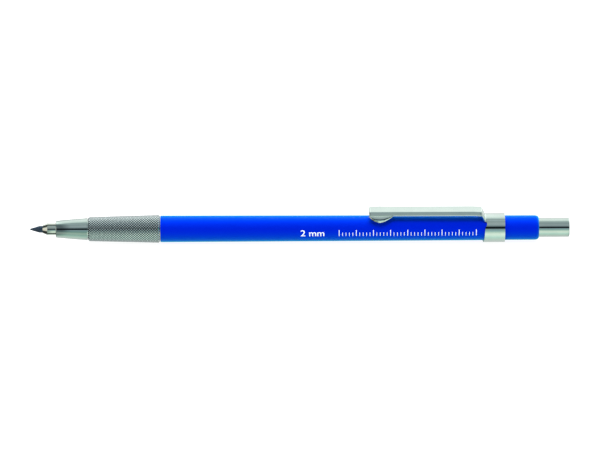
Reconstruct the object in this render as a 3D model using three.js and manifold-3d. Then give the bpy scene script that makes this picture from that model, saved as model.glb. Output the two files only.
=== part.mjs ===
// Lead holder for 2 mm drafting leads: plastic barrel, knurled metal grip, pocket clip,
// four-jaw spring clutch and a pull-off push button with a lead pointer inside.
// Millimetres. The holder lies along X with its writing tip at -X, its push button at +X and
// its clip up at +Z. Radii and heights in the profiles are measured from the holder's own axis.
import * as THREE from "three";
import { mergeVertices } from "three/addons/utils/BufferGeometryUtils.js";
import Module from "manifold-3d";

const wasm = await Module();
wasm.setup();

// Facets round a turned piece
const OUTER_FACETS = 48;
const INNER_FACETS = 24;

// Clearances, radial or along the axis
const RUN = 0.08; // sliding fit
const SEAT = 0.05; // pressed or screwed fit, held by its neighbour
const BUTT = 0.15; // two faces that meet end to end

// Lead
const LEAD_R = 1.0;
const LEAD_TIP_X = -78.8;
const LEAD_CONE = 2.7;
const LEAD_LENGTH = 130;
const LEAD_TIP_R = 0.14;

// Clutch jaws
const JAW_COUNT = 4;
const JAW_FRONT_X = -75.1;
const JAW_BEVEL = 1.4;
const JAW_HEAD_R = 1.7;
const JAW_NECK_R = 1.45;
const JAW_REAR_X = -64.9;
const JAW_SLOT = 0.26;
const JAW_TURN = 0.17; // how far the saw cuts are turned from upright, radians
const WEDGE_FRONT_X = -71.0;
const WEDGE_REAR_X = -69.2;
const JAW_GRIP_X = -71.8; // behind this the jaws stand clear of the lead

// Nose cone
const NOSE_FRONT_X = -71.2;
const NOSE_FRONT_R = 2.475;
const NOSE_REAR_R = 3.25;
const NOSE_WALL_BORE_R = 2.06;
const NOSE_SPIGOT_R = 2.68;
const NOSE_SPIGOT_END_X = -55.5;

// Knurled grip
const GRIP_FRONT_X = -61.8;
const GRIP_REAR_X = -40.8;
const GRIP_FRONT_R = 3.53;
const GRIP_REAR_R = 4.075;
const GRIP_BORE_R = 3.02;
const GRIP_REAR_BORE_R = 3.25;
const GRIP_STEP_X = -46.2; // where the connecting sleeve's counterbore starts
const KNURL_CHAMFER = 0.45;
const KNURL_DEPTH = 0.14;
const KNURL_ROWS = 40; // half diamonds along the grip
const KNURL_AROUND = 48; // half diamonds round the grip

// Connecting sleeve between grip and barrel
const SLEEVE_BORE_R = 2.85;
const SLEEVE_FRONT_X = -46.0;
const SLEEVE_REAR_X = -33.0;

// Barrel
const BARREL_FRONT_X = GRIP_REAR_X + BUTT;
const BARREL_REAR_X = 70.1;
const BARREL_FRONT_R = 3.9;
const BARREL_MID_R = 3.78;
const BARREL_CLIP_R = 3.67;
const BARREL_REAR_R = 3.6;
const BARREL_BORE_R = 2.88;
const BARREL_ROUNDING = 0.9;

// Lead tube and what is fixed to it
const TUBE_R = 1.7;
const TUBE_BORE_R = 1.25;
const TUBE_FRONT_X = -61.5;
const TUBE_REAR_X = 60.0;
const HUB_R = 1.96;
const HUB_BORE_R = 1.12;
const HUB_FRONT_X = JAW_REAR_X + BUTT;
const HUB_REAR_X = -57.4;
const COLLAR_R = 2.7;
const COLLAR_FRONT_X = -43.9;
const COLLAR_LENGTH = 1.5;
const SOCKET_R = 2.27;
const SOCKET_FRONT_X = 57.0;
const SOCKET_REAR_X = 69.0;

// Guide ring and return spring
const RING_LENGTH = 1.2;
const RING_R = 2.95;
const WIRE_R = 0.2;
const COIL_R = 2.2;
const COIL_TURNS = 9;
const COIL_STEPS = 12; // facets in one turn
const WIRE_FACETS = 6;

// Push button and the pointer inside it
const BUTTON_R = 2.8;
const BUTTON_BORE_R = 2.35;
const BUTTON_FRONT_X = 62.0;
const BUTTON_END_X = 78.8;
const BUTTON_END_WALL = 0.8;
const POINTER_R = 2.27;
const POINTER_FRONT_X = 69.3;
const POINTER_MOUTH_R = 1.5;
const POINTER_GUIDE_R = 1.12;
const POINTER_CONE_X = 72.4;
const POINTER_TIP_X = 75.6;
const BLADE_THICK = 0.34;
const BLADE_COUNT = 2;

// Pocket clip
const SHEET = 0.5;
const ARM_HALF_WIDTH = 2.3;
const ARM_TOP = 6.75; // outer face above the holder's axis
const ARM_CROWN_R = 3.2; // radius of the strip's convex section
const ARM_FREE_X = 20.3;
const ARM_BEND_X = 52.8;
const BAND_FRONT_X = 54.4;
const BAND_REAR_X = 59.9;
const BAND_R = 4.25;
const RISER_HALF_ANGLE = 0.52; // of the riser's root round the band, radians
const BAND_SLANT = 0.9; // how much further forward the band reaches underneath
const SEAM_GAP = 0.3; // of the band's rolled seam, underneath

const AXIS_Z = BAND_R; // the band is the widest turned piece and rests on z = 0

// ---------------------------------------------------------------- helpers

function signedVolume(geometry) {
  const g = geometry.index ? geometry.toNonIndexed() : geometry;
  const p = g.getAttribute("position");
  const [a, b, c] = [new THREE.Vector3(), new THREE.Vector3(), new THREE.Vector3()];
  let sum = 0;
  for (let i = 0; i < p.count; i += 3) {
    a.fromBufferAttribute(p, i);
    b.fromBufferAttribute(p, i + 1);
    c.fromBufferAttribute(p, i + 2);
    sum += a.dot(b.cross(c));
  }
  return sum / 6;
}

// Welds a geometry's corners, drops triangles of no area and turns its faces outwards.
function welded(geometry) {
  const bare = new THREE.BufferGeometry();
  bare.setAttribute("position", geometry.getAttribute("position"));
  if (geometry.index) bare.setIndex(geometry.index);
  const g = mergeVertices(bare, 1e-4);
  const kept = [];
  for (let i = 0; i < g.index.count; i += 3) {
    const [a, b, c] = [g.index.getX(i), g.index.getX(i + 1), g.index.getX(i + 2)];
    if (a !== b && b !== c && c !== a) kept.push(a, b, c);
  }
  g.setIndex(kept);
  if (signedVolume(g) < 0) {
    for (let i = 0; i < kept.length; i += 3) [kept[i + 1], kept[i + 2]] = [kept[i + 2], kept[i + 1]];
    g.setIndex(kept);
  }
  return g;
}

const solidOf = (geometry) => {
  const g = welded(geometry);
  return new wasm.Manifold(
    new wasm.Mesh({
      numProp: 3,
      vertProperties: Float32Array.from(g.getAttribute("position").array),
      triVerts: Uint32Array.from(g.index.array),
    }),
  );
};

const geometryOf = (solid) => {
  const mesh = solid.getMesh();
  const g = new THREE.BufferGeometry();
  g.setAttribute("position", new THREE.BufferAttribute(Float32Array.from(mesh.vertProperties), 3));
  g.setIndex(new THREE.BufferAttribute(Uint32Array.from(mesh.triVerts), 1));
  return g;
};

const cut = (geometry, ...tools) =>
  geometryOf(tools.reduce((s, t) => s.subtract(solidOf(t)), solidOf(geometry)));
const join = (geometry, ...more) =>
  geometryOf(more.reduce((s, m) => s.add(solidOf(m)), solidOf(geometry)));
const common = (a, b) => geometryOf(solidOf(a).intersect(solidOf(b)));

// Revolves [x, radius] stations about the holder's axis. The loop closes on itself unless it
// starts and ends on the axis.
function turned(profile, facets) {
  const [first, last] = [profile[0], profile.at(-1)];
  const loop = first[1] === 0 && last[1] === 0 ? profile : [...profile, first];
  const g = new THREE.LatheGeometry(loop.map(([x, r]) => new THREE.Vector2(r, x)), facets);
  return welded(g.rotateZ(-Math.PI / 2).translate(0, 0, AXIS_Z));
}

// A plain tube from x0 to x1.
const tube = (x0, x1, rOut, rIn, facets) =>
  turned([[x0, rIn], [x0, rOut], [x1, rOut], [x1, rIn]], facets);

// A prism along X from a closed outline of [y, z] points.
function prismX(outline, x0, x1) {
  const shape = new THREE.Shape(outline.map(([y, z]) => new THREE.Vector2(-z, y)));
  const g = new THREE.ExtrudeGeometry(shape, { depth: x1 - x0, bevelEnabled: false });
  return welded(g.rotateY(Math.PI / 2).translate(x0, 0, AXIS_Z));
}

// A prism along Y from a closed outline of [x, z] points, centred on y.
function prismY(outline, y, width) {
  const shape = new THREE.Shape(outline.map(([x, z]) => new THREE.Vector2(x, z)));
  const g = new THREE.ExtrudeGeometry(shape, { depth: width, bevelEnabled: false });
  return welded(g.rotateX(Math.PI / 2).translate(0, y + width / 2, AXIS_Z));
}

// Skins rings of equal length into one closed body. With wrap the last ring joins the first,
// and without it both ends are closed flat. split(row, column) picks each cell's diagonal.
function skinned(rings, { wrap = false, split = () => false } = {}) {
  const n = rings[0].length;
  const points = rings.flat().flat();
  const index = [];
  const at = (row, col) => (row % rings.length) * n + (col % n);
  const rows = wrap ? rings.length : rings.length - 1;
  for (let i = 0; i < rows; i++) {
    for (let j = 0; j < n; j++) {
      const [a, b, c, d] = [at(i, j), at(i, j + 1), at(i + 1, j + 1), at(i + 1, j)];
      if (split(i, j)) index.push(a, b, d, b, c, d);
      else index.push(a, b, c, a, c, d);
    }
  }
  if (!wrap) {
    const last = (rings.length - 1) * n;
    for (let j = 0; j < n / 2 - 1; j++) {
      const [p, q, r, s] = [j, j + 1, n - 2 - j, n - 1 - j];
      index.push(p, r, q, last + p, last + q, last + r);
      index.push(p, s, r, last + p, last + r, last + s);
    }
  }
  const g = new THREE.BufferGeometry();
  g.setAttribute("position", new THREE.Float32BufferAttribute(points, 3));
  g.setIndex(index);
  return welded(g);
}

// ---------------------------------------------------------------- looks and group

const look = (color, metalness, roughness) =>
  new THREE.MeshStandardMaterial({ color, metalness, roughness });
const CHROME = () => look(0xdfe4e2, 1, 0.08);
const SATIN_CHROME = () => look(0xa9b3b2, 1, 0.35);
const BLUE_PLASTIC = () => look(0x0b3ae0, 0, 0.2);
const BRASS = () => look(0xc3a15a, 1, 0.3);
const STEEL = () => look(0x9aa0a4, 1, 0.35);
const BLACK_PLASTIC = () => look(0x22252a, 0, 0.5);
const GRAPHITE = () => look(0x2c3e4c, 0, 0.45);

const holder = new THREE.Group();
holder.name = "lead_holder";
function piece(name, geometry, material) {
  const mesh = new THREE.Mesh(geometry, material);
  mesh.name = name;
  holder.add(mesh);
}

// ---------------------------------------------------------------- lead

piece(
  "lead",
  turned(
    [
      [LEAD_TIP_X, 0],
      [LEAD_TIP_X, LEAD_TIP_R],
      [LEAD_TIP_X + LEAD_CONE, LEAD_R],
      [LEAD_TIP_X + LEAD_LENGTH, LEAD_R],
      [LEAD_TIP_X + LEAD_LENGTH, 0],
    ],
    INNER_FACETS,
  ),
  GRAPHITE(),
);

// ---------------------------------------------------------------- clutch jaws

// The jaws are one turned head slit from the front, so each is a sector of that head.
const jawHead = turned(
  [
    [JAW_FRONT_X, LEAD_R + RUN / 2],
    [JAW_FRONT_X, LEAD_R + 2 * RUN],
    [JAW_FRONT_X + JAW_BEVEL, JAW_HEAD_R],
    [WEDGE_FRONT_X, JAW_HEAD_R],
    [WEDGE_REAR_X, JAW_NECK_R],
    [JAW_REAR_X, JAW_NECK_R],
    [JAW_REAR_X, HUB_BORE_R],
    [JAW_GRIP_X, HUB_BORE_R],
    [JAW_GRIP_X - 0.3, LEAD_R + RUN / 2],
  ],
  36,
);
for (let k = 0; k < JAW_COUNT; k++) {
  const half = Math.PI / JAW_COUNT;
  const middle = JAW_TURN + half * (2 * k + 1);
  const apex = JAW_SLOT / 2 / Math.sin(half);
  const reach = 3 * JAW_HEAD_R;
  const point = (along, turn) => [
    apex * Math.cos(middle) + along * Math.cos(middle + turn),
    apex * Math.sin(middle) + along * Math.sin(middle + turn),
  ];
  const sector = prismX([point(0, 0), point(reach, -half), point(reach, half)], -80, -60);
  piece("jaw_" + (k + 1), common(jawHead, sector), CHROME());
}

// ---------------------------------------------------------------- nose cone

const MOUTH_R = JAW_HEAD_R + RUN;
const THROAT_R = JAW_NECK_R + 1.5 * RUN;
piece(
  "nose_cone",
  turned(
    [
      [NOSE_FRONT_X, MOUTH_R],
      [NOSE_FRONT_X, NOSE_FRONT_R - 0.15],
      [NOSE_FRONT_X + 0.15, NOSE_FRONT_R],
      [(NOSE_FRONT_X + GRIP_FRONT_X) / 2, (NOSE_FRONT_R + NOSE_REAR_R) / 2 + 0.05],
      [GRIP_FRONT_X - BUTT, NOSE_REAR_R],
      [GRIP_FRONT_X - BUTT, NOSE_SPIGOT_R],
      [NOSE_SPIGOT_END_X, NOSE_SPIGOT_R],
      [NOSE_SPIGOT_END_X, NOSE_WALL_BORE_R],
      [WEDGE_REAR_X + 0.3, NOSE_WALL_BORE_R],
      [WEDGE_REAR_X, THROAT_R],
    ],
    OUTER_FACETS,
  ),
  CHROME(),
);

// ---------------------------------------------------------------- knurled grip

// Rings of the outside run from the front face to the rear face, and the bore's rings run back.
function knurledGrip() {
  const knurl = [];
  const x0 = GRIP_FRONT_X + KNURL_CHAMFER;
  const x1 = GRIP_REAR_X - KNURL_CHAMFER;
  const ring = (x, radiusAt) =>
    Array.from({ length: KNURL_AROUND }, (_, j) => {
      const turn = (2 * Math.PI * j) / KNURL_AROUND;
      const r = radiusAt(j);
      return [x, -r * Math.sin(turn), AXIS_Z + r * Math.cos(turn)];
    });
  const outerR = (x) =>
    GRIP_FRONT_R +
    ((GRIP_REAR_R - GRIP_FRONT_R) * (x - GRIP_FRONT_X)) / (GRIP_REAR_X - GRIP_FRONT_X);
  for (let i = 0; i <= KNURL_ROWS; i++) {
    const x = x0 + ((x1 - x0) * i) / KNURL_ROWS;
    const edge = i === 0 || i === KNURL_ROWS;
    knurl.push(ring(x, (j) => outerR(x) - (edge || (i + j) % 2 ? KNURL_DEPTH : 0)));
  }
  const frontBore = NOSE_SPIGOT_R + SEAT;
  const rings = [
    ring(GRIP_FRONT_X, () => frontBore),
    ring(GRIP_FRONT_X, () => GRIP_FRONT_R - KNURL_CHAMFER),
    ...knurl,
    ring(GRIP_REAR_X, () => GRIP_REAR_R - KNURL_CHAMFER),
    ring(GRIP_REAR_X, () => GRIP_REAR_BORE_R),
    ring(GRIP_STEP_X, () => GRIP_REAR_BORE_R),
    ring(GRIP_STEP_X, () => GRIP_BORE_R),
    ring(NOSE_SPIGOT_END_X, () => GRIP_BORE_R),
    ring(NOSE_SPIGOT_END_X, () => frontBore),
  ];
  const firstKnurlRow = 2;
  return skinned(rings, { wrap: true, split: (i, j) => (i - firstKnurlRow + j) % 2 === 0 });
}
piece("knurled_grip", knurledGrip(), SATIN_CHROME());

// ---------------------------------------------------------------- sleeve and barrel

piece(
  "connecting_sleeve",
  tube(SLEEVE_FRONT_X, SLEEVE_REAR_X, GRIP_REAR_BORE_R - SEAT, SLEEVE_BORE_R, INNER_FACETS),
  BRASS(),
);

const barrelShell = [
  [BARREL_FRONT_X, GRIP_REAR_BORE_R],
  [BARREL_FRONT_X, BARREL_FRONT_R - 0.1],
  [BARREL_FRONT_X + 0.2, BARREL_FRONT_R],
  [12, BARREL_MID_R],
  [BAND_FRONT_X, BARREL_CLIP_R],
  [BAND_REAR_X, BARREL_CLIP_R],
  [BAND_REAR_X + 0.1, BARREL_REAR_R],
];
const ROUNDING_STEPS = 4;
for (let i = 0; i <= ROUNDING_STEPS; i++) {
  const turn = (Math.PI / 2) * (i / ROUNDING_STEPS);
  barrelShell.push([
    BARREL_REAR_X - BARREL_ROUNDING * (1 - Math.sin(turn)),
    BARREL_REAR_R - 0.55 * (1 - Math.cos(turn)),
  ]);
}
barrelShell.push(
  [BARREL_REAR_X, BARREL_BORE_R],
  [SLEEVE_REAR_X + BUTT, BARREL_BORE_R],
  [SLEEVE_REAR_X + BUTT, GRIP_REAR_BORE_R],
);
piece("barrel", turned(barrelShell, OUTER_FACETS), BLUE_PLASTIC());

// ---------------------------------------------------------------- lead tube and fittings

piece("lead_tube", tube(TUBE_FRONT_X, TUBE_REAR_X, TUBE_R, TUBE_BORE_R, INNER_FACETS), STEEL());

piece(
  "clutch_hub",
  turned(
    [
      [HUB_FRONT_X, HUB_BORE_R],
      [HUB_FRONT_X, JAW_NECK_R],
      [HUB_FRONT_X + 0.8, HUB_R],
      [HUB_REAR_X, HUB_R],
      [HUB_REAR_X, TUBE_R + SEAT],
      [TUBE_FRONT_X - BUTT, TUBE_R + SEAT],
      [TUBE_FRONT_X - BUTT, HUB_BORE_R],
    ],
    INNER_FACETS,
  ),
  BRASS(),
);

piece(
  "spring_collar",
  tube(COLLAR_FRONT_X, COLLAR_FRONT_X + COLLAR_LENGTH, COLLAR_R, TUBE_R + SEAT, INNER_FACETS),
  BRASS(),
);

const RING_FRONT_X = NOSE_SPIGOT_END_X + BUTT;
piece(
  "guide_ring",
  tube(RING_FRONT_X, RING_FRONT_X + RING_LENGTH, RING_R, TUBE_R + RUN, INNER_FACETS),
  BRASS(),
);

class Helix extends THREE.Curve {
  constructor(x0, x1, radius, turns) {
    super();
    Object.assign(this, { x0, x1, radius, turns });
  }
  getPoint(t, target = new THREE.Vector3()) {
    const turn = 2 * Math.PI * this.turns * t;
    return target.set(
      this.x0 + (this.x1 - this.x0) * t,
      this.radius * Math.sin(turn),
      AXIS_Z + this.radius * Math.cos(turn),
    );
  }
}
const wireSection = new THREE.Shape(
  Array.from({ length: WIRE_FACETS }, (_, i) => {
    const turn = (2 * Math.PI * i) / WIRE_FACETS;
    return new THREE.Vector2(WIRE_R * Math.cos(turn), WIRE_R * Math.sin(turn));
  }),
);
const coilEnd = WIRE_R + BUTT / 2;
piece(
  "return_spring",
  welded(
    new THREE.ExtrudeGeometry(wireSection, {
      steps: COIL_TURNS * COIL_STEPS,
      extrudePath: new Helix(
        RING_FRONT_X + RING_LENGTH + coilEnd,
        COLLAR_FRONT_X - coilEnd,
        COIL_R,
        COIL_TURNS,
      ),
    }),
  ),
  STEEL(),
);

piece(
  "button_socket",
  turned(
    [
      [SOCKET_FRONT_X, TUBE_R + SEAT],
      [SOCKET_FRONT_X, SOCKET_R],
      [SOCKET_REAR_X - 0.4, SOCKET_R],
      [SOCKET_REAR_X, SOCKET_R - 0.3],
      [SOCKET_REAR_X, TUBE_BORE_R],
      [TUBE_REAR_X + BUTT, TUBE_BORE_R],
      [TUBE_REAR_X + BUTT, TUBE_R + SEAT],
    ],
    INNER_FACETS,
  ),
  BLACK_PLASTIC(),
);

// ---------------------------------------------------------------- push button and pointer

piece(
  "push_button",
  turned(
    [
      [BUTTON_END_X, 0],
      [BUTTON_END_X, BUTTON_R - 0.4],
      [BUTTON_END_X - 0.12, BUTTON_R - 0.12],
      [BUTTON_END_X - 0.4, BUTTON_R],
      [BUTTON_FRONT_X, BUTTON_R],
      [BUTTON_FRONT_X, BUTTON_BORE_R],
      [BUTTON_END_X - BUTTON_END_WALL, BUTTON_BORE_R],
      [BUTTON_END_X - BUTTON_END_WALL, 0],
    ],
    OUTER_FACETS,
  ),
  CHROME(),
);

const POINTER_REAR_X = BUTTON_END_X - BUTTON_END_WALL - BUTT;
const pointerPlug = turned(
  [
    [POINTER_REAR_X, 0],
    [POINTER_REAR_X, POINTER_R],
    [POINTER_FRONT_X, POINTER_R],
    [POINTER_FRONT_X, POINTER_MOUTH_R],
    [POINTER_FRONT_X + 0.4, POINTER_GUIDE_R],
    [POINTER_CONE_X, POINTER_GUIDE_R],
    [POINTER_TIP_X, LEAD_TIP_R],
    [POINTER_TIP_X, 0],
  ],
  INNER_FACETS,
);
// A blade's side view: its cutting edge follows the cone's wall at lift above it, on side +1 or -1.
const bladeOutline = (side, lift, spread, rim) => {
  const edge = (x) => {
    const t = (x - POINTER_CONE_X) / (POINTER_TIP_X - POINTER_CONE_X);
    return POINTER_GUIDE_R + (LEAD_TIP_R - POINTER_GUIDE_R) * t + lift;
  };
  const [x0, x1] = [POINTER_CONE_X - spread, POINTER_TIP_X - 0.5 + spread];
  return [[x0, side * edge(x0)], [x1, side * edge(x1)], [x1, side * rim], [x0, side * rim]];
};
const bladeSlots = [];
for (let k = 0; k < BLADE_COUNT; k++) {
  const side = k % 2 ? -1 : 1;
  const name = "pointer_blade_" + (k + 1);
  piece(name, prismY(bladeOutline(side, 0.02, 0, POINTER_R - 0.1), 0, BLADE_THICK), STEEL());
  bladeSlots.push(prismY(bladeOutline(side, -0.3, 0.1, POINTER_R + 1), 0, BLADE_THICK + 2 * SEAT));
}
piece("pointer_plug", cut(pointerPlug, ...bladeSlots), BLACK_PLASTIC());

// ---------------------------------------------------------------- pocket clip

// One cross section of the clip's strip: its outer face's middle stands at [x, z] and faces
// lean away from straight up towards +X. The section curves down to its sides with radius bend.
const ACROSS = 7; // facets across the strip
function stripSection({ x, z, lean, halfWidth, bend }) {
  const outer = [];
  const inner = [];
  for (let j = 0; j <= ACROSS; j++) {
    const turn = ((2 * j) / ACROSS - 1) * (halfWidth / bend);
    const [y, drop] = [bend * Math.sin(turn), bend * (1 - Math.cos(turn))];
    const facing = [Math.sin(lean), Math.cos(lean) * Math.sin(turn), Math.cos(lean) * Math.cos(turn)];
    outer.push([x, y, AXIS_Z + z - drop]);
    inner.unshift([
      x - SHEET * facing[0],
      y - SHEET * facing[1],
      AXIS_Z + z - drop - SHEET * facing[2],
    ]);
  }
  return [...outer, ...inner];
}
const armArc = ARM_CROWN_R * Math.asin(ARM_HALF_WIDTH / ARM_CROWN_R); // half the strip round its crown
const arm = { z: ARM_TOP, lean: 0, halfWidth: armArc, bend: ARM_CROWN_R };
const ROOT_X = BAND_FRONT_X - 0.12;
const RISER_STEPS = 5;
const riser = Array.from({ length: RISER_STEPS }, (_, i) => {
  const t = (i + 1) / RISER_STEPS; // 0 at the bend under the arm, 1 at the root
  const mix = (from, to) => from + (to - from) * t;
  return stripSection({
    x: mix(ARM_BEND_X + 0.4, ROOT_X),
    z: mix(ARM_TOP - 0.2, BAND_R),
    lean: 1.1,
    halfWidth: mix(armArc, RISER_HALF_ANGLE * BAND_R),
    bend: mix(ARM_CROWN_R, BAND_R),
  });
});
const strip = skinned([
  stripSection({ ...arm, x: ARM_FREE_X }),
  stripSection({ ...arm, x: ARM_BEND_X }),
  stripSection({ ...arm, x: ARM_BEND_X + 0.45, z: ARM_TOP - 0.14, lean: 0.6 }),
  ...riser,
]);
// The free end is pressed into a boat: a flange down each side whose lowest point meets the barrel.
const FLANGE_THICK = 0.5;
const FLANGE_LENGTH = 6.9;
const FLANGE_LOW_X = 2.8; // of the lowest point, from the free end
const FLANGE_TOP = ARM_TOP - 1.0;
const FLANGE_LOW = 3.72;
const flangeOutline = [[ARM_FREE_X, FLANGE_TOP]];
const FLANGE_STEPS = 5;
for (let i = 0; i <= FLANGE_STEPS; i++) {
  const turn = (Math.PI / 2) * (i / FLANGE_STEPS);
  const drop = (FLANGE_TOP - 0.5 - FLANGE_LOW) * Math.sin(turn);
  flangeOutline.push([ARM_FREE_X + 0.05 + FLANGE_LOW_X * (1 - Math.cos(turn)), FLANGE_TOP - 0.5 - drop]);
}
flangeOutline.push(
  [ARM_FREE_X + FLANGE_LOW_X + 0.8, FLANGE_LOW + 0.15],
  [ARM_FREE_X + FLANGE_LENGTH, FLANGE_TOP],
);
const flanges = [-1, 1].map((side) =>
  prismY(flangeOutline, side * (ARM_HALF_WIDTH - 0.3), FLANGE_THICK),
);
piece("clip_arm", join(strip, ...flanges), CHROME());

const bandRing = tube(BAND_FRONT_X - BAND_SLANT, BAND_REAR_X, BAND_R, BARREL_CLIP_R + 0.1, OUTER_FACETS);
const reach = BAND_R + 1;
const slantCut = prismY(
  [
    [BAND_FRONT_X - 2 * BAND_SLANT, reach],
    [BAND_FRONT_X, reach],
    [BAND_FRONT_X, BAND_R],
    [BAND_FRONT_X - BAND_SLANT, -BAND_R],
    [BAND_FRONT_X - 2 * BAND_SLANT, -BAND_R],
  ],
  0,
  2 * reach,
);
const seamCut = prismX(
  [[-SEAM_GAP / 2, -reach], [SEAM_GAP / 2, -reach], [SEAM_GAP / 2, 0], [-SEAM_GAP / 2, 0]],
  BAND_FRONT_X - 2 * BAND_SLANT,
  BAND_REAR_X + 1,
);
piece("clip_band", cut(bandRing, slantCut, seamCut), CHROME());

export default holder;
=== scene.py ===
import math

import bmesh
import bpy
import numpy as np
from mathutils import Matrix, Vector


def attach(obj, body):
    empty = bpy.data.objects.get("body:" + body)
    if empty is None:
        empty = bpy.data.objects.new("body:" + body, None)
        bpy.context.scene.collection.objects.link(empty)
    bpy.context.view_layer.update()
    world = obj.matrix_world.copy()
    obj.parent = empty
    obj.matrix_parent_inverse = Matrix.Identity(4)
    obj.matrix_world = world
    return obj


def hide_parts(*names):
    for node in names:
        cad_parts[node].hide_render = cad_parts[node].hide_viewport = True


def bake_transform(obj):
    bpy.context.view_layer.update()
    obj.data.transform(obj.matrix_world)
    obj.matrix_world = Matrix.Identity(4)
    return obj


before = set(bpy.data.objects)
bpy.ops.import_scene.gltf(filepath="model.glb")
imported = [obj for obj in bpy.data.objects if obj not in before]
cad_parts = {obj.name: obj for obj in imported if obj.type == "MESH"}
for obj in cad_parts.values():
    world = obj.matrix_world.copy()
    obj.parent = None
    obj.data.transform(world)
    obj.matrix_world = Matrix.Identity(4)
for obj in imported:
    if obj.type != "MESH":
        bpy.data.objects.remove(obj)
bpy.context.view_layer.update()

MM = 0.001
AXIS_Z = 4.25  # height of the holder's axis above the floor, mm


# ------------------------------------------------------------------ mesh helpers

def new_object(name, verts, faces, body, nodes, material):
    """A mesh from points in mm, riding on a body and standing for CAD nodes."""
    mesh = bpy.data.meshes.new(name)
    mesh.from_pydata([tuple(float(c) * MM for c in v) for v in verts], [], faces)
    mesh.validate()
    mesh.update()
    obj = bpy.data.objects.new(name, mesh)
    bpy.context.scene.collection.objects.link(obj)
    mesh.materials.append(material)
    if body:
        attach(obj, body)
    if nodes:
        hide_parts(*nodes)
    return obj


def outward(mesh):
    bm = bmesh.new()
    bm.from_mesh(mesh)
    bmesh.ops.remove_doubles(bm, verts=bm.verts, dist=1e-8)
    bmesh.ops.recalc_face_normals(bm, faces=bm.faces)
    bm.to_mesh(mesh)
    bm.free()


def smooth(mesh, sharp_deg=40.0):
    """Smooth shading with hard edges above an angle."""
    bm = bmesh.new()
    bm.from_mesh(mesh)
    for f in bm.faces:
        f.smooth = True
    for e in bm.edges:
        e.smooth = not (len(e.link_faces) == 2 and e.calc_face_angle(0.0) > math.radians(sharp_deg))
    bm.to_mesh(mesh)
    bm.free()


def weighted(obj):
    """Flat faces keep flat normals next to small roundings."""
    m = obj.modifiers.new("normals", "WEIGHTED_NORMAL")
    m.keep_sharp = True
    m.weight = 100


def bevel(obj, width, segments, above_deg):
    """Rounds the edges sharper than an angle by a width in mm."""
    m = obj.modifiers.new("edges", "BEVEL")
    m.width = width * MM
    m.segments = segments
    m.limit_method = "ANGLE"
    m.angle_limit = math.radians(above_deg)
    return m


def rounded(profile):
    """Stations [x, r] or [x, r, radius]: each corner with a radius becomes an arc."""
    out = []
    n = len(profile)
    for i, p in enumerate(profile):
        radius = p[2] if len(p) > 2 else 0
        if not radius:
            out.append((p[0], p[1]))
            continue
        here = np.array(p[:2], float)
        a = np.array(profile[(i - 1) % n][:2], float) - here
        b = np.array(profile[(i + 1) % n][:2], float) - here
        la, lb = np.linalg.norm(a), np.linalg.norm(b)
        a, b = a / la, b / lb
        corner = math.acos(max(-1.0, min(1.0, float(a @ b))))
        reach = min(radius / math.tan(corner / 2), 0.49 * la, 0.49 * lb)
        true_r = reach * math.tan(corner / 2)
        mid = (a + b) / np.linalg.norm(a + b)
        centre = here + mid * true_r / math.sin(corner / 2)
        p0, p1 = here + a * reach - centre, here + b * reach - centre
        t0, t1 = math.atan2(p0[1], p0[0]), math.atan2(p1[1], p1[0])
        turn = (t1 - t0 + math.pi) % (2 * math.pi) - math.pi
        steps = max(2, int(math.ceil(abs(turn) / math.radians(15))))
        for k in range(steps + 1):
            t = t0 + turn * k / steps
            out.append((centre[0] + true_r * math.cos(t), centre[1] + true_r * math.sin(t)))
    return out


def around(x, r, turn):
    """A point at a turn about the holder's axis: 0 points up (+Z), 90 degrees towards -Y."""
    return (x, -r * math.sin(turn), AXIS_Z + r * math.cos(turn))


def lathe(name, profile, body, nodes, material, seg=128):
    """Revolves a closed profile. Stations on the axis close it there."""
    pts = rounded(profile)
    verts, faces, rows = [], [], []
    for x, r in pts:
        if r < 1e-6:
            rows.append([len(verts)] * seg)
            verts.append((x, 0, AXIS_Z))
        else:
            rows.append(list(range(len(verts), len(verts) + seg)))
            verts += [around(x, r, 2 * math.pi * j / seg) for j in range(seg)]
    for i in range(len(rows)):
        a, b = rows[i], rows[(i + 1) % len(rows)]
        for j in range(seg):
            k = (j + 1) % seg
            quad = []
            for v in (a[j], a[k], b[k], b[j]):
                if v not in quad:
                    quad.append(v)
            if len(quad) > 2:
                faces.append(quad)
    obj = new_object(name, verts, faces, body, nodes, material)
    outward(obj.data)
    smooth(obj.data, 50)
    weighted(obj)
    return obj


# ------------------------------------------------------------------ material helpers

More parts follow.
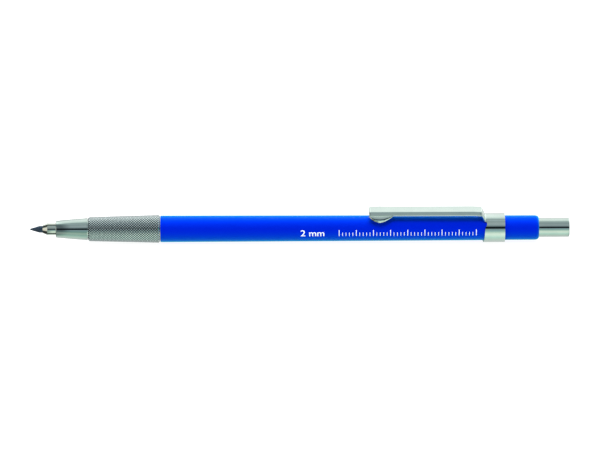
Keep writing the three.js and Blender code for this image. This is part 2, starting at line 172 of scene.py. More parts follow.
class Nodes:
    """A principled material and short calls for its node tree."""

    def __init__(self, name, **sockets):
        self.mat = bpy.data.materials.new(name)
        self.mat.use_nodes = True
        self.tree = self.mat.node_tree
        self.bsdf = next(n for n in self.tree.nodes if n.type == "BSDF_PRINCIPLED")
        for key, value in sockets.items():
            self.bsdf.inputs[key.replace("_", " ")].default_value = value

    def add(self, kind, **settings):
        n = self.tree.nodes.new(kind)
        for key, value in settings.items():
            if key in n.inputs:
                n.inputs[key].default_value = value
            else:
                setattr(n, key, value)
        return n

    def link(self, a, b):
        self.tree.links.new(a, b)

    def coords(self, scale, turned=False):
        """Object coordinates scaled per axis. Turned gives (x, angle about the axis, 0)."""
        tc = self.add("ShaderNodeTexCoord")
        source = tc.outputs["Object"]
        if turned:
            sep = self.add("ShaderNodeSeparateXYZ")
            self.link(source, sep.inputs[0])
            up = self.math("SUBTRACT", sep.outputs["Z"], AXIS_Z * MM)
            angle = self.math("ARCTAN2", sep.outputs["Y"], up)
            comb = self.add("ShaderNodeCombineXYZ")
            self.link(sep.outputs["X"], comb.inputs[0])
            self.link(angle, comb.inputs[1])
            source = comb.outputs[0]
        mp = self.add("ShaderNodeMapping")
        mp.inputs["Scale"].default_value = scale
        self.link(source, mp.inputs["Vector"])
        return mp.outputs["Vector"]

    def math(self, op, a, b=None):
        n = self.add("ShaderNodeMath", operation=op)
        for i, v in enumerate((a, b)):
            if v is None:
                continue
            if isinstance(v, (int, float)):
                n.inputs[i].default_value = v
            else:
                self.link(v, n.inputs[i])
        return n.outputs[0]

    def noise(self, vector, scale, detail=4.0, rough=0.55):
        n = self.add("ShaderNodeTexNoise", Scale=scale, Detail=detail, Roughness=rough)
        self.link(vector, n.inputs["Vector"])
        return n.outputs["Fac"]

    def ramp(self, fac, stops):
        n = self.add("ShaderNodeValToRGB")
        ramp = n.color_ramp
        while len(ramp.elements) < len(stops):
            ramp.elements.new(0.5)
        for e, (pos, col) in zip(ramp.elements, stops):
            e.position = pos
            e.color = (*col, 1.0) if hasattr(col, "__len__") else (col, col, col, 1.0)
        self.link(fac, n.inputs["Fac"])
        return n.outputs["Color"]

    def spread(self, fac, low, high, lo=0.3, hi=0.7):
        n = self.add("ShaderNodeMapRange")
        for key, value in (("From Min", lo), ("From Max", hi), ("To Min", low), ("To Max", high)):
            n.inputs[key].default_value = value
        self.link(fac, n.inputs["Value"])
        return n.outputs["Result"]

    def bump(self, height, strength, distance, normal=None):
        n = self.add("ShaderNodeBump", Strength=strength, Distance=distance)
        self.link(height, n.inputs["Height"])
        if normal is not None:
            self.link(normal, n.inputs["Normal"])
        return n.outputs["Normal"]

    def to(self, socket, value):
        self.link(value, self.bsdf.inputs[socket])


def metal(name, base, dark, rough, spread, lines=0.05, turned=True):
    """Plated or bare metal: fine turning lines, uneven polish and a slight stain."""
    m = Nodes(name, Metallic=1.0)
    fine = m.noise(m.coords((9000, 3, 1), turned), 1.0, 3.0)
    cloud = m.noise(m.coords((1, 1, 1)), 260.0, 5.0)
    smear = m.noise(m.coords((60, 2.2, 1), turned), 6.0, 6.0)
    m.to("Base Color", m.ramp(cloud, [(0.3, dark), (0.62, base)]))
    m.to("Roughness", m.spread(m.math("ADD", m.math("MULTIPLY", smear, 0.6), m.math("MULTIPLY", cloud, 0.4)),
                               rough, rough + spread))
    m.to("Normal", m.bump(fine, lines, 0.00002))
    return m.mat


CHROME_BASE = (0.545, 0.60, 0.575)
CHROME_DARK = (0.50, 0.555, 0.535)
chrome = metal("chrome_plate", CHROME_BASE, CHROME_DARK, 0.035, 0.05)
# The clip's plating is a lighter copy of chrome_plate: painted light on the clip.
lit_clip_chrome = metal("lit_clip_chrome", (0.61, 0.665, 0.64), (0.57, 0.625, 0.605), 0.04, 0.06, 0.03, False)
jaw_metal = metal("jaw_chrome", (0.57, 0.61, 0.575), (0.57, 0.56, 0.49), 0.03, 0.05, 0.03)
# Near-black metal for the jaws' cut faces: painted shade of the saw cuts.
slot_shade_metal = metal("jaw_slot_shade", (0.035, 0.04, 0.042), (0.02, 0.024, 0.026), 0.45, 0.2, 0.2)
brass = metal("turned_brass", (0.72, 0.52, 0.22), (0.50, 0.34, 0.13), 0.20, 0.18, 0.3)
steel = metal("drawn_steel", (0.52, 0.53, 0.54), (0.40, 0.41, 0.42), 0.22, 0.16, 0.25)
spring_steel = metal("spring_wire", (0.45, 0.46, 0.48), (0.30, 0.31, 0.33), 0.28, 0.12, 0.1)


def knurl_metal():
    """Plated knurl: crests bright from wear, and painted shade that darkens the colour down the flanks into
    the grooves.
    """
    m = Nodes("knurl_chrome", Metallic=1.0)
    height = m.add("ShaderNodeAttribute", attribute_name="crest").outputs["Fac"]
    cloud = m.noise(m.coords((1, 1, 1)), 420.0, 6.0)
    wear_and_groove_shade = m.math("ADD", height, m.math("MULTIPLY", m.math("SUBTRACT", cloud, 0.5), 0.12))
    # painted shade: the groove and flank colours are near black and dark grey, so the colour darkens with
    # depth
    groove, flank, top = (0.010, 0.014, 0.016), (0.125, 0.150, 0.162), (0.77, 0.82, 0.84)
    m.to("Base Color", m.ramp(wear_and_groove_shade, [(0.0, groove), (0.4, flank), (0.85, top)]))
    m.to("Roughness", m.spread(wear_and_groove_shade, 0.24, 0.14, 0.0, 1.0))
    m.to("Normal", m.bump(m.noise(m.coords((1, 1, 1)), 9000.0, 3.0), 0.12, 0.00002))
    return m.mat


def plastic(name, base, deep, rough, spread, tint, level=0.5):
    """Moulded plastic: slight colour drift, handling haze, faint flow lines and rare scratches."""
    m = Nodes(name, Metallic=0.0)
    m.bsdf.inputs["Specular Tint"].default_value = (*tint, 1.0)
    m.bsdf.inputs["Specular IOR Level"].default_value = level
    m.bsdf.inputs["IOR"].default_value = 1.5
    drift = m.noise(m.coords((0.25, 1, 1)), 120.0, 4.0)
    haze = m.noise(m.coords((14, 1.2, 1), True), 5.0, 6.0, 0.6)
    scratch = m.noise(m.coords((40, 260, 1), True), 1.6, 2.0)
    m.to("Base Color", m.ramp(drift, [(0.3, deep), (0.65, base)]))
    m.to("Roughness", m.spread(haze, rough, rough + spread))
    flow = m.noise(m.coords((1, 1, 1)), 900.0, 2.0)
    normal = m.bump(flow, 0.06, 0.00004)
    m.to("Normal", m.bump(m.ramp(scratch, [(0.66, 0.0), (0.70, 1.0)]), 0.03, 0.00001, normal))
    return m


def blue_plastic():
    """Deep saturated blue that turns lighter towards the edges."""
    base, deep, tint = (0.0001, 0.0040, 0.58), (0.0001, 0.0034, 0.545), (0.0, 0.6, 1.0)
    m = plastic("blue_plastic", base, deep, 0.20, 0.07, tint, 0.03)
    m.bsdf.inputs["Sheen Weight"].default_value = 1.0
    m.bsdf.inputs["Sheen Roughness"].default_value = 0.47
    m.bsdf.inputs["Sheen Tint"].default_value = (0.0, 0.85, 0.35, 1.0)
    return m.mat


blue = blue_plastic()
black = plastic("black_plastic", (0.022, 0.023, 0.026), (0.012, 0.012, 0.014), 0.38, 0.15, (1, 1, 1)).mat


def graphite_lead():
    """Fired graphite and clay: dark blue-grey, silky, with fine grinding rings on the point."""
    m = Nodes("graphite_lead", Metallic=0.35)
    rings = m.noise(m.coords((5200, 5, 1), True), 1.0, 4.0)
    grain = m.noise(m.coords((1, 1, 1)), 3800.0, 5.0)
    both = m.math("ADD", m.math("MULTIPLY", rings, 0.5), m.math("MULTIPLY", grain, 0.5))
    m.to("Base Color", m.ramp(both, [(0.35, (0.008, 0.018, 0.036)), (0.65, (0.026, 0.05, 0.082))]))
    m.to("Roughness", m.spread(grain, 0.30, 0.48))
    m.to("Normal", m.bump(both, 0.35, 0.00003))
    return m.mat


def print_ink():
    m = Nodes("white_print", Metallic=0.0, Roughness=0.35)
    wear = m.noise(m.coords((1, 1, 1)), 2600.0, 4.0)
    m.to("Base Color", m.ramp(wear, [(0.25, (0.70, 0.76, 0.86)), (0.5, (0.93, 0.95, 0.97))]))
    m.to("Normal", m.bump(wear, 0.05, 0.00001))
    return m.mat


knurl_look, lead_look, ink = knurl_metal(), graphite_lead(), print_ink()

# ------------------------------------------------------------------ turned pieces

BARREL_STATIONS = [(-40.65, 3.9), (12.0, 3.78), (54.4, 3.67)]


def barrel_radius(x):
    return float(np.interp(x, [s[0] for s in BARREL_STATIONS], [s[1] for s in BARREL_STATIONS]))


lathe("barrel_shell", [
    (-40.65, 3.25), (-40.65, 3.9, 0.1), (-14.0, barrel_radius(-14.0)), (12.0, 3.78), (54.3, 3.67),
    (59.8, 3.67), (59.95, 3.605), (68.5, 3.6), (69.1, 3.54), (69.5, 3.40), (69.75, 3.20), (69.85, 2.98),
    (69.8, 2.88), (-32.85, 2.88), (-32.85, 3.25),
], "barrel", ["barrel"], blue, 160)
lathe("nose_shell", [
    (-71.2, 1.78, 0.05), (-71.2, 2.47, 0.16), (-66.6, 2.90), (-61.98, 3.25, 0.08), (-61.98, 2.68),
    (-55.5, 2.68, 0.1), (-55.5, 2.06), (-68.9, 2.06), (-69.2, 1.57),
], "barrel", ["nose_cone"], chrome, 160)
lathe("button_shell", [
    (78.8, 0.0), (78.8, 2.8, 0.32), (62.0, 2.8, 0.15), (62.0, 2.35), (78.0, 2.35, 0.3), (78.0, 0.0),
], "button", ["push_button"], chrome, 160)
lathe("lead_rod", [
    (-78.8, 0.0), (-78.8, 0.17, 0.1), (-76.05, 1.0, 1.2), (51.2, 1.0, 0.05), (51.2, 0.0),
], "lead", ["lead"], lead_look, 64)
lathe("sleeve_brass", [
    (-46.0, 2.85), (-46.0, 3.2, 0.15), (-33.0, 3.2, 0.15), (-33.0, 2.85),
], "barrel", ["connecting_sleeve"], brass, 64)
lathe("guide_ring_brass", [
    (-55.35, 1.78, 0.1), (-55.35, 2.95, 0.1), (-54.15, 2.95, 0.1), (-54.15, 1.78, 0.1),
], "barrel", ["guide_ring"], brass, 64)
lathe("lead_tube_steel", [
    (-61.5, 1.25), (-61.5, 1.7, 0.1), (60.0, 1.7, 0.12), (60.0, 1.25, 0.12),
], "clutch", ["lead_tube"], steel, 64)
lathe("clutch_hub_brass", [
    (-64.75, 1.12), (-64.75, 1.45, 0.1), (-63.95, 1.96, 0.2), (-57.4, 1.96, 0.12), (-57.4, 1.75),
    (-61.65, 1.75), (-61.65, 1.12),
], "clutch", ["clutch_hub"], brass, 64)
lathe("collar_brass", [
    (-43.9, 1.75), (-43.9, 2.7, 0.15), (-42.4, 2.7, 0.15), (-42.4, 1.75),
], "clutch", ["spring_collar"], brass, 64)
lathe("socket_sleeve", [
    (57.0, 1.75), (57.0, 2.27, 0.15), (63.5, 2.27), (63.6, 2.19), (64.2, 2.19), (64.3, 2.27),
    (69.0, 2.27, 0.4), (69.0, 1.25, 0.12), (60.15, 1.25), (60.15, 1.75),
], "clutch", ["button_socket"], black, 96)

# ------------------------------------------------------------------ knurled grip

GRIP_X = (-61.8, -40.8)
GRIP_R = (3.53, 4.075)
KNURL_AROUND = 32  # diamonds round the grip
KNURL_ALONG = 27  # diamonds along it
KNURL_CELLS = 6  # mesh cells across one diamond
KNURL_DEPTH = 0.05
KNURL_TOP = 0.55  # the share of a groove's way up at which the flat top starts
KNURL_MARGIN = 0.12  # plain rim at either end
KNURL_CHAMFER = 0.3
CHAMFER_SLOPE = 1.1
GRIP_SPIGOT_R = 2.73  # round the nose cone's spigot
GRIP_BORE_R = 3.02
GRIP_THREAD_R = 3.25  # round the connecting sleeve
GRIP_STEPS_X = (-46.2, -55.5)  # where the bore narrows, from the rear
PLAIN_CREST = 0.5  # crest value of the faces without a knurl, which sets their tone on the ramp of wear and painted shade


def grip_radius(x):
    t = (x - GRIP_X[0]) / (GRIP_X[1] - GRIP_X[0])
    return GRIP_R[0] + (GRIP_R[1] - GRIP_R[0]) * t


def knurled_grip():
    """Two crossed families of rolled grooves leave flat-topped diamonds."""
    seg, rows = KNURL_AROUND * KNURL_CELLS, KNURL_ALONG * KNURL_CELLS
    x0, x1 = GRIP_X[0] + KNURL_MARGIN, GRIP_X[1] - KNURL_MARGIN
    turn = 2 * np.pi * np.arange(seg) / seg
    verts, crest, rings = [], [], []

    def ring(x, radius, height):
        rings.append(range(len(verts), len(verts) + seg))
        for t, r, h in zip(turn, np.broadcast_to(radius, seg), np.broadcast_to(height, seg)):
            verts.append(around(x, r, t))
            crest.append(float(h))

    ring(GRIP_X[0], GRIP_SPIGOT_R, PLAIN_CREST)
    ring(GRIP_X[0], grip_radius(x0) - KNURL_CHAMFER, PLAIN_CREST)
    for i in range(rows + 1):
        x = x0 + (x1 - x0) * i / rows
        along = i / KNURL_CELLS
        lap = np.arange(seg) / KNURL_CELLS
        wave = [1 - np.abs(2 * ((along + s * lap) % 1.0) - 1) for s in (1, -1)]
        h = np.minimum(np.minimum(*wave), KNURL_TOP) / KNURL_TOP
        edge = min(x - x0, x1 - x)
        cone = max(0.0, KNURL_CHAMFER - CHAMFER_SLOPE * edge)
        low = grip_radius(x) - KNURL_DEPTH
        r = np.minimum(low + KNURL_DEPTH * h, grip_radius(x) - cone)
        ring(x, r, h)
    ring(GRIP_X[1], grip_radius(x1) - KNURL_CHAMFER, PLAIN_CREST)
    ring(GRIP_X[1], GRIP_THREAD_R, PLAIN_CREST)
    ring(GRIP_STEPS_X[0], GRIP_THREAD_R, PLAIN_CREST)
    ring(GRIP_STEPS_X[0], GRIP_BORE_R, PLAIN_CREST)
    ring(GRIP_STEPS_X[1], GRIP_BORE_R, PLAIN_CREST)
    ring(GRIP_STEPS_X[1], GRIP_SPIGOT_R, PLAIN_CREST)
    faces = []
    for i in range(len(rings)):
        a, b = rings[i], rings[(i + 1) % len(rings)]
        faces += [(a[j], a[(j + 1) % seg], b[(j + 1) % seg], b[j]) for j in range(seg)]
    obj = new_object("grip_knurl", verts, faces, "barrel", ["knurled_grip"], knurl_look)
    attribute = obj.data.attributes.new("crest", "FLOAT", "POINT")
    attribute.data.foreach_set("value", np.array(crest, np.float32))
    bm = bmesh.new()
    bm.from_mesh(obj.data)
    bmesh.ops.recalc_face_normals(bm, faces=bm.faces)
    bm.to_mesh(obj.data)
    bm.free()
    smooth(obj.data, 9)
    return obj


knurled_grip()

# ------------------------------------------------------------------ clutch jaws

JAW_PROFILE = rounded([
    (-75.1, 1.03), (-75.1, 1.14, 0.03), (-73.7, 1.74, 0.12), (-71.0, 1.74, 0.1), (-69.2, 1.45, 0.2),
    (-64.9, 1.45), (-64.9, 1.12), (-71.8, 1.12), (-72.1, 1.03),
])
JAW_COUNT = 4
JAW_SLOT = 0.36  # width of a saw cut
JAW_TURN = 0.17  # radians by which the cuts are turned from upright and level


def jaw(number):
    """A quarter of the turned head, with flat faces either side of the saw cuts, which carry painted shade.
    """
    sector = math.pi / JAW_COUNT
    middle = JAW_TURN + sector * (2 * number - 1)
    cols = 18
    verts, faces = [], []
    for x, r in JAW_PROFILE:
        half = sector - math.asin(JAW_SLOT / 2 / r)
        for j in range(cols + 1):
            t = middle + half * (2 * j / cols - 1)
            verts.append((x, r * math.cos(t), AXIS_Z + r * math.sin(t)))
    n, w = len(JAW_PROFILE), cols + 1
    for i in range(n):
        k = (i + 1) % n
        faces += [(i * w + j, i * w + j + 1, k * w + j + 1, k * w + j) for j in range(cols)]
    faces.append([i * w for i in range(n)])
    faces.append([i * w + cols for i in reversed(range(n))])
    node = f"jaw_{number}"
    obj = new_object(f"jaw_finger_{number}", verts, faces, node, [node], jaw_metal)
    outward(obj.data)
    smooth(obj.data, 30)
    obj.data.materials.append(slot_shade_metal)
    for p in obj.data.polygons:
        p.material_index = int(len(p.vertices) > 4)  # the two cut faces, in the near-black painted shade of the slots
    bevel(obj, 0.035, 2, 45)
    weighted(obj)


for number in range(1, JAW_COUNT + 1):
    jaw(number)

# ------------------------------------------------------------------ return spring

SPRING_X = (-53.9, -44.15)
SPRING_R = 2.2
WIRE_R = 0.2
SPRING_TURNS = 9
SPRING_EASE = 0.045  # how much closer the end turns lie


def coil_spring():
    """A closed-end compression spring: the pitch tightens over its first and last turns."""
    x0, x1 = SPRING_X
    steps, sides = SPRING_TURNS * 40, 12
    s = np.linspace(0, 1, steps + 1)
    ease = s - SPRING_EASE * np.sin(2 * np.pi * s)
    verts, faces = [], []
    for i in range(steps + 1):
        t = 2 * math.pi * SPRING_TURNS * s[i]
        x = x0 + (x1 - x0) * ease[i]
        for j in range(sides):
            a = 2 * math.pi * j / sides
            verts.append(around(x + WIRE_R * math.sin(a), SPRING_R + WIRE_R * math.cos(a), -t))
    for i in range(steps):
        a, b = i * sides, (i + 1) * sides
        faces += [(a + j, a + (j + 1) % sides, b + (j + 1) % sides, b + j) for j in range(sides)]
    faces.append(list(range(sides)))
    faces.append([steps * sides + j for j in reversed(range(sides))])
    obj = new_object("spring_coil", verts, faces, None, ["return_spring"], spring_steel)
    outward(obj.data)
    smooth(obj.data, 60)
    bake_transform(obj)


coil_spring()

# ------------------------------------------------------------------ pointer in the button

for node, look in (("pointer_plug", black), ("pointer_blade_1", steel), ("pointer_blade_2", steel)):
    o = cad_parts[node]
    o.data.materials.clear()
    o.data.materials.append(look)
    smooth(o.data, 35)
    bevel(o, 0.03, 2, 40)

# ------------------------------------------------------------------ pocket clip

SHEET = 0.47
BAND_R = 4.25
BAND_REAR_X = 59.9
ROOT_X = 54.4
STRIP_HALF_ANGLE = math.radians(32)  # the strip's root round the band
# The band's front edge: degrees round from the top against x. A notch relieves each side of the root.
FRONT_EDGE = [(0, ROOT_X), (32, ROOT_X), (36, 54.62), (47, 54.6), (52, 54.2), (60, 54.1), (180, 53.5)]
ARM_TOP = 6.65
# The strip's section: distance round from its middle against slope in radians. A flat top turns down to
# two flat sides, each with a short upright rim.
ARM_SLOPES = [(0.0, 0.0), (1.25, 0.05), (1.5, 0.54), (2.45, 0.60), (2.5, 1.45), (2.7, 1.5)]
ARM_HALF_SHEET = ARM_SLOPES[-1][0]
ARM_FREE_X = 20.25
ARM_SET = (50.7, 52.2, 0.1)  # the strip is set down by 0.1 between these stations before the riser
RISER_SLOPE = math.radians(66)
TIP_ROUND = 0.5
# The bulged ears of the free end: x against their share of the full bulge
EARS = [(20.3, 0.0), (20.45, 0.3), (20.95, 0.55), (21.8, 0.8), (22.8, 0.96), (23.5, 1.0), (24.6, 0.87),
        (25.4, 0.64), (26.3, 0.38), (27.0, 0.12), (27.4, 0.0)]
EAR_R = 1.3
EAR_START, EAR_END = math.radians(0), math.radians(96)  # the ear's slope at its top and at its rim
CROWN_SHARE = 0.55  # of the mesh columns


def strip_path():
    """Stations (x, z) of the outer face along the strip's middle, up the riser and along the arm."""
    low_r, top_r = 0.4, 0.3
    path = []
    for k in range(9):
        a = RISER_SLOPE * k / 8
        path.append((ROOT_X - low_r * math.sin(a), BAND_R + low_r * (1 - math.cos(a))))
    crest = ARM_TOP - ARM_SET[2]
    top_z = crest - top_r * (1 - math.cos(RISER_SLOPE))
    run = (top_z - path[-1][1]) / math.tan(RISER_SLOPE)
    x0, z0 = path[-1]
    path += [(x0 - run * t, z0 + (top_z - z0) * t) for t in (0.2, 0.4, 0.6, 0.8, 1.0)]
    x0 = path[-1][0]
    for k in range(1, 8):
        a = RISER_SLOPE * (1 - k / 7)
        path.append((x0 - top_r * (math.sin(RISER_SLOPE) - math.sin(a)), crest - top_r * (1 - math.cos(a))))
    riser = len(path)
    xs = [ARM_SET[1], 51.9, 51.5, 51.2, 50.9, ARM_SET[0], 50.4]
    xs += list(np.linspace(49.5, 28.0, 24)) + list(np.linspace(27.7, 21.0, 48))
    xs += [ARM_FREE_X + TIP_ROUND * (1 - math.sin(math.pi / 2 * k / 8)) for k in range(9)]
    path += [(x, ARM_TOP - ARM_SET[2] * float(np.interp(x, ARM_SET[:2], (0, 1)))) for x in xs]
    return path, riser


def across_section(s, length, share):
    """How far out and down the strip's face is at a distance s round from its middle, in mm."""
    steps = 40
    mid = (np.arange(steps) + 0.5) / steps * s
    arm = np.interp(mid / length * ARM_HALF_SHEET, [p[0] for p in ARM_SLOPES], [p[1] for p in ARM_SLOPES])
    slope = share * arm + (1 - share) * mid / BAND_R
    return float(np.cos(slope).sum() * s / steps), float(np.sin(slope).sum() * s / steps)


def strip_point(x, z, t, share):
    """Outer face at t across (-1 to 1). share runs from the band's curve (0) to the arm's crown (1)."""
    side = 1 if t >= 0 else -1
    if share < 1:
        length = (1 - share) * BAND_R * STRIP_HALF_ANGLE + share * ARM_HALF_SHEET
        y, drop = across_section(abs(t) * length, length, share)
        return (x, side * y, AXIS_Z + z - drop)
    near = max(0.0, 1 - (x - ARM_FREE_X) / TIP_ROUND)
    tuck = 1 - math.sqrt(max(0.0, 1 - near * near))
    top, reach = z - 0.25 * tuck, ARM_HALF_SHEET * (1 - 0.12 * tuck)
    ear = float(np.interp(x, [e[0] for e in EARS], [e[1] for e in EARS]))
    crown = reach * (0.85 + 0.15 * min(1.0, 4 * ear))
    if abs(t) <= CROWN_SHARE:
        s = crown * abs(t) / CROWN_SHARE
    else:
        rest = reach - crown + EAR_R * ear * (EAR_END - EAR_START)
        s = crown + rest * (abs(t) - CROWN_SHARE) / (1 - CROWN_SHARE)
    y, drop = across_section(min(s, reach), ARM_HALF_SHEET, 1.0)
    if s > reach + 1e-9:
        a = EAR_START + (s - reach) / (EAR_R * ear)
        y += EAR_R * ear * (math.sin(a) - math.sin(EAR_START))
        drop += EAR_R * ear * (math.cos(EAR_START) - math.cos(a))
    return (x, side * y, AXIS_Z + top - drop)


def pocket_clip():
    """One pressed strip: a rolled band with a seam underneath, a riser and an arm with a boat-shaped end."""
    across, rows, rest = 88, 14, 84
    gap = 0.012
    angles = [STRIP_HALF_ANGLE * (2 * j / across - 1) for j in range(across + 1)]
    tail = np.linspace(STRIP_HALF_ANGLE, math.pi - gap, rest // 2 + 1)[1:]
    angles = [-a for a in reversed(tail)] + angles + list(tail)
    first = rest // 2

    def front_edge(a):
        return float(np.interp(math.degrees(abs(a)), [f[0] for f in FRONT_EDGE], [f[1] for f in FRONT_EDGE]))

    verts, faces = [], []
    n = len(angles)
    for i in range(rows + 1):
        for a in angles:
            x = BAND_REAR_X + (front_edge(a) - BAND_REAR_X) * i / rows
            verts.append((x, BAND_R * math.sin(a), AXIS_Z + BAND_R * math.cos(a)))
    for i in range(rows):
        faces += [(i * n + j, i * n + j + 1, (i + 1) * n + j + 1, (i + 1) * n + j) for j in range(n - 1)]
    previous = [rows * n + first + j for j in range(across + 1)]
    path, riser = strip_path()
    for k, (x, z) in enumerate(path[1:], 1):
        share = min(1.0, k / (riser - 1))
        row = list(range(len(verts), len(verts) + across + 1))
        verts += [strip_point(x, z, 2 * j / across - 1, share) for j in range(across + 1)]
        faces += [(previous[j], previous[j + 1], row[j + 1], row[j]) for j in range(across)]
        previous = row
    obj = new_object("pocket_clip", verts, faces, None, ["clip_band", "clip_arm"], lit_clip_chrome)
    bm = bmesh.new()
    bm.from_mesh(obj.data)
    bmesh.ops.recalc_face_normals(bm, faces=bm.faces)
    top = max(bm.faces, key=lambda f: f.calc_center_median().z)
    if top.normal.z < 0:
        bmesh.ops.reverse_faces(bm, faces=bm.faces)
    bm.to_mesh(obj.data)
    bm.free()
    for p in obj.data.polygons:
        p.use_smooth = True
    s = obj.modifiers.new("sheet", "SOLIDIFY")
    s.thickness, s.offset, s.use_even_offset = SHEET * MM, -1.0, True
    bevel(obj, 0.12, 3, 50).harden_normals = True
    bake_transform(obj)
    return obj


pocket_clip()

# ------------------------------------------------------------------ printed marking

PRINT_TURN = math.radians(78)  # the print's middle, from straight up towards the front
PRINT_PROUD = 0.008
PRINT_BASE = -0.95  # foot of letters and marks, down from the print's middle
TEXT_SIZE = 2.75
TEXT_STRETCH = 1.12
TEXT_X = 0.2
RULE_X = (11.5, 51.5)


def wrapped_print(name, verts, faces):
    """Lays a flat drawing (x along, u round the barrel, in mm) on the barrel, just proud of it."""
    placed = []
    for x, u in verts:
        r = barrel_radius(x) + PRINT_PROUD
        placed.append(around(x, r, PRINT_TURN - u / r))
    obj = new_object(name, placed, faces, "barrel", None, ink)
    for p in obj.data.polygons:
        p.use_smooth = True
    return obj


def size_text():
    """The lead size the holder takes: a plain number and unit."""
    curve = bpy.data.curves.new("size_text", "FONT")
    curve.body = "2 mm"
    curve.size = TEXT_SIZE
    curve.resolution_u = 6
    curve.offset = 0.02
    obj = bpy.data.objects.new("size_text_curve", curve)
    bpy.context.scene.collection.objects.link(obj)
    bpy.context.view_layer.update()
    mesh = bpy.data.meshes.new_from_object(obj)
    bpy.data.objects.remove(obj)
    bm = bmesh.new()
    bm.from_mesh(mesh)
    for k in range(-6, 26):
        everything = bm.verts[:] + bm.edges[:] + bm.faces[:]
        bmesh.ops.bisect_plane(bm, geom=everything, plane_co=(0, 0.1 * k, 0), plane_no=(0, 1, 0))
    bmesh.ops.triangulate(bm, faces=bm.faces)
    bm.verts.ensure_lookup_table()
    verts = [(TEXT_X + v.co.x * TEXT_STRETCH, v.co.y + PRINT_BASE) for v in bm.verts]
    faces = [[v.index for v in f.verts] for f in bm.faces]
    bm.free()
    return verts, faces


def rule_marks(start, end):
    """A plain millimetre scale, longer at every fifth mark."""
    verts, faces = [], []
    for k in range(int(round(end - start)) + 1):
        x = start + k
        tall, half = (1.9, 0.10) if k % 5 == 0 else (1.15, 0.08)
        steps = 10
        base = len(verts)
        for i in range(steps + 1):
            u = PRINT_BASE + tall * i / steps
            verts += [(x - half, u), (x + half, u)]
        faces += [(base + 2 * i, base + 2 * i + 1, base + 2 * i + 3, base + 2 * i + 2) for i in range(steps)]
    return verts, faces


wrapped_print("size_marking", *size_text())
wrapped_print("scale_marking", *rule_marks(*RULE_X))

# ------------------------------------------------------------------ floor, light and camera

FLOOR_SIZE = 3000.0
FLOOR_CELLS = 24
FLOOR_Z = -0.02
FLOOR_GLOW = 0.93


def floor():
    """A plain pale table top that glows a little, so that it stays even. The chrome doesn't mirror it."""
    n = FLOOR_CELLS
    line = [(i / n - 0.5) * FLOOR_SIZE for i in range(n + 1)]
    verts = [(x, y, FLOOR_Z) for x in line for y in line]
    corners = [i * (n + 1) + j for i in range(n) for j in range(n)]
    faces = [(c, c + n + 1, c + n + 2, c + 1) for c in corners]
    m = Nodes("pale_floor", Metallic=0.0, Roughness=0.85)
    m.bsdf.inputs["Specular IOR Level"].default_value = 0.1
    m.to("Base Color", m.ramp(m.noise(m.coords((1, 1, 1)), 3.0, 2.0), [(0.3, 0.21), (0.7, 0.23)]))
    obj = new_object("floor", verts, faces, None, None, m.mat)
    m.bsdf.inputs["Emission Color"].default_value = (1.0, 1.0, 1.0, 1.0)
    m.bsdf.inputs["Emission Strength"].default_value = FLOOR_GLOW
    obj.visible_glossy = False


floor()

world = bpy.data.worlds.new("studio")
bpy.context.scene.world = world
world.use_nodes = True
tree = world.node_tree
background = next(n for n in tree.nodes if n.type == "BACKGROUND")


def world_node(kind, **settings):
    n = tree.nodes.new(kind)
    for key, value in settings.items():
        setattr(n, key, value)
    return n


# The room as rays leaving across the holder meet it, in degrees round its axis: 0 is level with the
# front, 90 straight up, 180 level behind and -90 straight down.
SKY = [
    (-180, (0.80, 0.84, 0.82)), (-110, (0.78, 0.82, 0.80)), (-95, (0.80, 0.86, 0.83)),
    (-70, (0.76, 0.93, 0.82)), (-50, (0.74, 1.03, 0.90)), (-39, (0.90, 1.18, 1.03)),
    (-22, (1.12, 1.28, 1.10)), (-13, (1.02, 1.20, 1.04)), (-3, (0.72, 0.94, 0.80)),
    (5, (0.47, 0.70, 0.68)), (13, (0.36, 0.55, 0.56)), (22, (0.33, 0.45, 0.48)),
    (27.5, (0.012, 0.018, 0.024)), (40, (0.004, 0.010, 0.014)), (47, (0.28, 0.36, 0.38)),
    (61, (0.48, 0.56, 0.59)), (75, (0.44, 0.52, 0.53)), (85, (0.37, 0.47, 0.48)),
    (94, (0.54, 0.64, 0.66)), (103, (0.37, 0.46, 0.46)), (115, (0.80, 0.95, 0.91)),
    (126, (1.08, 1.22, 1.15)), (143, (1.22, 1.32, 1.27)), (180, (1.10, 1.16, 1.13)),
]
DIM_END = (0.46, 0.54, 0.54)  # the low part of the room past the holder's tip
# The room's far corners, which the knurl's flanks mirror: how much brighter or darker they are
CORNERS = [
    (-180, (1.2, 1.2, 1.2)), (-115, (1.1, 1.1, 1.1)), (-95, (0.45, 0.45, 0.48)), (-45, (0.40, 0.38, 0.40)),
    (-28, (0.7, 0.62, 0.66)), (-5, (0.85, 0.75, 0.8)), (12, (0.4, 0.38, 0.4)), (92, (0.35, 0.38, 0.39)),
    (108, (1.0, 1.0, 1.0)), (120, (1.8, 1.75, 1.78)), (180, (1.6, 1.6, 1.6)),
]
# The room's end wall beyond the tip, which the jaws' bevel and the lead's point mirror
END_WALL = [
    (-180, (0.05, 0.06, 0.055)), (-20, (0.04, 0.05, 0.05)), (2, (1.05, 1.02, 0.90)),
    (75, (1.15, 1.14, 1.02)), (92, (0.08, 0.11, 0.10)), (150, (0.08, 0.11, 0.10)), (180, (0.50, 0.55, 0.52)),
]


def world_math(op, a, b):
    n = world_node("ShaderNodeMath", operation=op)
    for i, v in enumerate((a, b)):
        if isinstance(v, (int, float)):
            n.inputs[i].default_value = v
        else:
            tree.links.new(v, n.inputs[i])
    return n.outputs[0]


def world_fade(value, start, end):
    """0 at start, 1 at end, held outside."""
    n = world_node("ShaderNodeMapRange")
    n.inputs["From Min"].default_value, n.inputs["From Max"].default_value = start, end
    tree.links.new(value, n.inputs["Value"])
    return n.outputs["Result"]


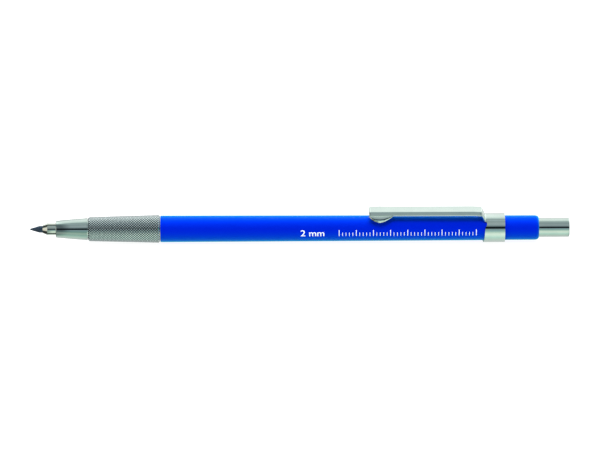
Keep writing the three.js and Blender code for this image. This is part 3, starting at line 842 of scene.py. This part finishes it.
tc = world_node("ShaderNodeTexCoord")
sep = world_node("ShaderNodeSeparateXYZ")
tree.links.new(tc.outputs["Generated"], sep.inputs[0])
angle = world_math("ARCTAN2", sep.outputs["Z"], world_math("MULTIPLY", sep.outputs["Y"], -1.0))
share = world_math("ADD", world_math("DIVIDE", angle, 2 * math.pi), 0.5)


def world_ramp(stops):
    """A colour for each turn round the holder's axis."""
    ramp = world_node("ShaderNodeValToRGB")
    while len(ramp.color_ramp.elements) < len(stops):
        ramp.color_ramp.elements.new(0.5)
    for e, (deg, col) in zip(ramp.color_ramp.elements, stops):
        e.position = deg / 360 + 0.5
        e.color = (*col, 1.0)
    tree.links.new(share, ramp.inputs["Fac"])
    return ramp.outputs["Color"]


def world_mix(factor, a, b, blend):
    n = world_node("ShaderNodeMix", data_type="RGBA", blend_type=blend)
    for key, value in ((0, factor), (6, a), (7, b)):
        if isinstance(value, float):
            n.inputs[key].default_value = value
        elif isinstance(value, tuple):
            n.inputs[key].default_value = (*value, 1.0)
        else:
            tree.links.new(value, n.inputs[key])
    return n.outputs[2]


past_tip = world_fade(sep.outputs["X"], -0.085, -0.14)
below_top = world_fade(sep.outputs["Z"], 0.3, 0.05)
above_floor = world_fade(sep.outputs["Z"], -0.95, -0.6)
level = world_math("MULTIPLY", below_top, above_floor)
sky = world_mix(world_math("MULTIPLY", past_tip, level), world_ramp(SKY), DIM_END, "MULTIPLY")
sideways = world_math("ABSOLUTE", sep.outputs["X"], 0.0)
corner_share = world_math("MULTIPLY", world_fade(sideways, 0.22, 0.30), world_fade(sideways, 0.52, 0.46))
sky = world_mix(corner_share, sky, world_mix(1.0, sky, world_ramp(CORNERS), "MULTIPLY"), "MIX")
sky = world_mix(world_fade(sep.outputs["X"], -0.42, -0.52), sky, world_ramp(END_WALL), "MIX")
tree.links.new(sky, background.inputs["Color"])
background.inputs["Strength"].default_value = 1.0


def soft_light(name, place, size, watts):
    """A large lamp that brightens matt surfaces but is not mirrored in the chrome."""
    data = bpy.data.lights.new(name, "AREA")
    data.shape, data.size, data.energy = "SQUARE", size, watts
    lamp = bpy.data.objects.new(name, data)
    lamp.location = place
    lamp.rotation_mode = "QUATERNION"
    lamp.rotation_quaternion = (-Vector(place)).to_track_quat("-Z", "Y")
    lamp.visible_glossy = False
    bpy.context.scene.collection.objects.link(lamp)


soft_light("key_light", (0.0, -0.45, 1.5), 0.6, 16.0)
soft_light("front_light", (0.0, -1.3, 1.1), 1.6, 4.0)
soft_light("back_light", (0.0, 1.05, 1.12), 1.0, 38.0)

VIEW_WIDTH = 175.4  # mm across the picture at the holder
VIEW_SHIFT = (0.1, 0.9647)  # mm along the holder and up the picture to the picture's middle
DISTANCE = 1200.0
ELEVATION = math.radians(35.0)
ROLL = math.radians(-0.22)
camera_data = bpy.data.cameras.new("camera")
camera_data.sensor_width = 36.0
camera_data.lens = camera_data.sensor_width * DISTANCE / VIEW_WIDTH
camera_data.clip_start, camera_data.clip_end = 0.1, 20.0
camera = bpy.data.objects.new("camera", camera_data)
bpy.context.scene.collection.objects.link(camera)
bpy.context.scene.camera = camera
back = Vector((0, -math.cos(ELEVATION), math.sin(ELEVATION)))
up = Vector((0, math.sin(ELEVATION), math.cos(ELEVATION)))
look_at = Vector((VIEW_SHIFT[0], 0, AXIS_Z)) + up * VIEW_SHIFT[1]
camera.location = (look_at + back * DISTANCE) * MM
roll = Matrix.Rotation(ROLL, 3, back)
right, upward = roll @ Vector((1, 0, 0)), roll @ up
camera.rotation_mode = "QUATERNION"
camera.rotation_quaternion = Matrix((right, upward, back)).transposed().to_quaternion()

bpy.context.scene.view_settings.view_transform = "Standard"
bpy.context.scene.view_settings.look = "None"
